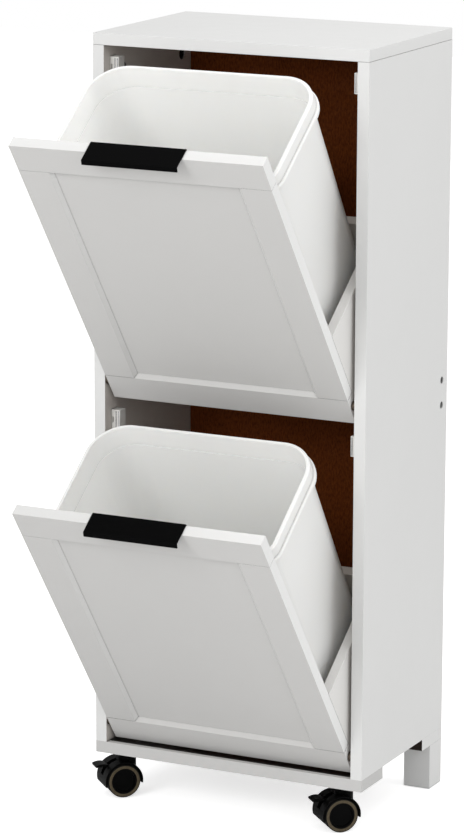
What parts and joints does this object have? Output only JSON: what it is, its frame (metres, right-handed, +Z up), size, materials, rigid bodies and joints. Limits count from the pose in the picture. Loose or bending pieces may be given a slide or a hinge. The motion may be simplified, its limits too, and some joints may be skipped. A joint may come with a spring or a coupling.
{
  "type": "tilt-out recycling cabinet",
  "caption": "Tall narrow white kitchen cabinet whose framed doors tilt out on bottom pivots, each carrying a lift-out waste bin, on braked twin-wheel casters and rear block legs.",
  "frame": {"origin": "on the floor under the middle of the open unit's outer box", "axes": "+X to the right across the cabinet, +Y from the doors to the back, +Z up"},
  "size_m": [0.378, 0.5092, 0.975],
  "materials": {
    "white_board": "smooth satin white paint",
    "door_white": "smooth satin white paint",
    "hardboard": "dark brown hardboard",
    "bin_white": "smooth white moulded plastic",
    "handle_black": "satin black",
    "fitting_dark": "blackened",
    "fitting_steel": "bright zinc",
    "bush_bronze": "dull bronze",
    "catch_white": "moulded off-white plastic",
    "caster_black": "moulded black plastic",
    "tread_khaki": "khaki rubber"
  },
  "bodies": {
    "cabinet": {"top_panel": "white_board", "left_side_panel": "white_board", "right_side_panel": "white_board", "front_base_rail": "white_board", "rear_base_rail": "white_board", "rear_legs": "white_board", "upper_back_panel": "hardboard", "lower_back_panel": "hardboard", "middle_back_rail": "white_board", "cam_locks": "fitting_dark", "cam_bolts": "fitting_steel", "carcass_screws": "fitting_steel", "catch_housings": "catch_white", "catch_pole_plates": "fitting_steel", "pivot_bushes": "bush_bronze", "tilt_stop_pegs": "fitting_steel", "caster_stems": "fitting_steel", "caster_inserts": "fitting_steel"},
    "upper_flap": {"upper_top_rail": "door_white", "upper_bottom_rail": "door_white", "upper_left_stile": "door_white", "upper_right_stile": "door_white", "upper_door_panel": "door_white", "upper_holder_left_side": "door_white", "upper_holder_right_side": "door_white", "upper_holder_back": "door_white", "upper_holder_floor": "door_white", "upper_handle": "handle_black", "upper_handle_screws": "fitting_steel", "upper_strike_plates": "fitting_steel", "upper_pivot_pins": "fitting_steel"},
    "upper_bin": {"upper_bin": "bin_white"},
    "lower_flap": {"lower_top_rail": "door_white", "lower_bottom_rail": "door_white", "lower_left_stile": "door_white", "lower_right_stile": "door_white", "lower_door_panel": "door_white", "lower_holder_left_side": "door_white", "lower_holder_right_side": "door_white", "lower_holder_back": "door_white", "lower_holder_floor": "door_white", "lower_handle": "handle_black", "lower_handle_screws": "fitting_steel", "lower_strike_plates": "fitting_steel", "lower_pivot_pins": "fitting_steel"},
    "lower_bin": {"lower_bin": "bin_white"},
    "left_caster": {"left_caster_hood": "caster_black", "left_caster_axle": "fitting_steel"},
    "left_inner_wheel": {"left_caster_inner_wheel": "caster_black", "left_caster_inner_tread": "tread_khaki"},
    "left_outer_wheel": {"left_caster_outer_wheel": "caster_black", "left_caster_outer_tread": "tread_khaki"},
    "left_brake": {"left_brake_lever": "caster_black"},
    "right_caster": {"right_caster_hood": "caster_black", "right_caster_axle": "fitting_steel"},
    "right_inner_wheel": {"right_caster_inner_wheel": "caster_black", "right_caster_inner_tread": "tread_khaki"},
    "right_outer_wheel": {"right_caster_outer_wheel": "caster_black", "right_caster_outer_tread": "tread_khaki"},
    "right_brake": {"right_brake_lever": "caster_black"}
  },
  "joints": [
    {"name": "upper_flap_tilt", "type": "hinge", "parent": "cabinet", "child": "upper_flap", "pos_m": [0, 0.01206, 0.5425], "axis": [1, 0, 0], "range_deg": [-36.8, 0]},
    {"name": "upper_bin_lift", "type": "slide", "parent": "upper_flap", "child": "upper_bin", "axis": [0, -0.599, 0.8007], "range_m": [0, 0.43]},
    {"name": "lower_flap_tilt", "type": "hinge", "parent": "cabinet", "child": "lower_flap", "pos_m": [0, 0.01206, 0.1], "axis": [1, 0, 0], "range_deg": [-36.8, 0]},
    {"name": "lower_bin_lift", "type": "slide", "parent": "lower_flap", "child": "lower_bin", "axis": [0, -0.599, 0.8007], "range_m": [0, 0.43]},
    {"name": "left_caster_swivel", "type": "hinge", "parent": "cabinet", "child": "left_caster", "pos_m": [-0.152, 0.03456, 0.058], "axis": [0, 0, 1], "continuous": true},
    {"name": "left_inner_wheel_roll", "type": "hinge", "parent": "left_caster", "child": "left_inner_wheel", "pos_m": [-0.16155, 0.02502, 0.0215], "axis": [0.7071, -0.7071, 0], "continuous": true},
    {"name": "left_outer_wheel_roll", "type": "hinge", "parent": "left_caster", "child": "left_outer_wheel", "pos_m": [-0.16155, 0.02502, 0.0215], "axis": [0.7071, -0.7071, 0], "continuous": true},
    {"name": "left_brake_press", "type": "hinge", "parent": "left_caster", "child": "left_brake", "pos_m": [-0.17038, 0.01618, 0.0355], "axis": [0.7071, -0.7071, 0], "range_deg": [0, 12]},
    {"name": "right_caster_swivel", "type": "hinge", "parent": "cabinet", "child": "right_caster", "pos_m": [0.152, 0.03456, 0.058], "axis": [0, 0, 1], "continuous": true},
    {"name": "right_inner_wheel_roll", "type": "hinge", "parent": "right_caster", "child": "right_inner_wheel", "pos_m": [0.14245, 0.02502, 0.0215], "axis": [0.7071, -0.7071, 0], "continuous": true},
    {"name": "right_outer_wheel_roll", "type": "hinge", "parent": "right_caster", "child": "right_outer_wheel", "pos_m": [0.14245, 0.02502, 0.0215], "axis": [0.7071, -0.7071, 0], "continuous": true},
    {"name": "right_brake_press", "type": "hinge", "parent": "right_caster", "child": "right_brake", "pos_m": [0.13362, 0.01618, 0.0355], "axis": [0.7071, -0.7071, 0], "range_deg": [0, 12]}
  ]
}
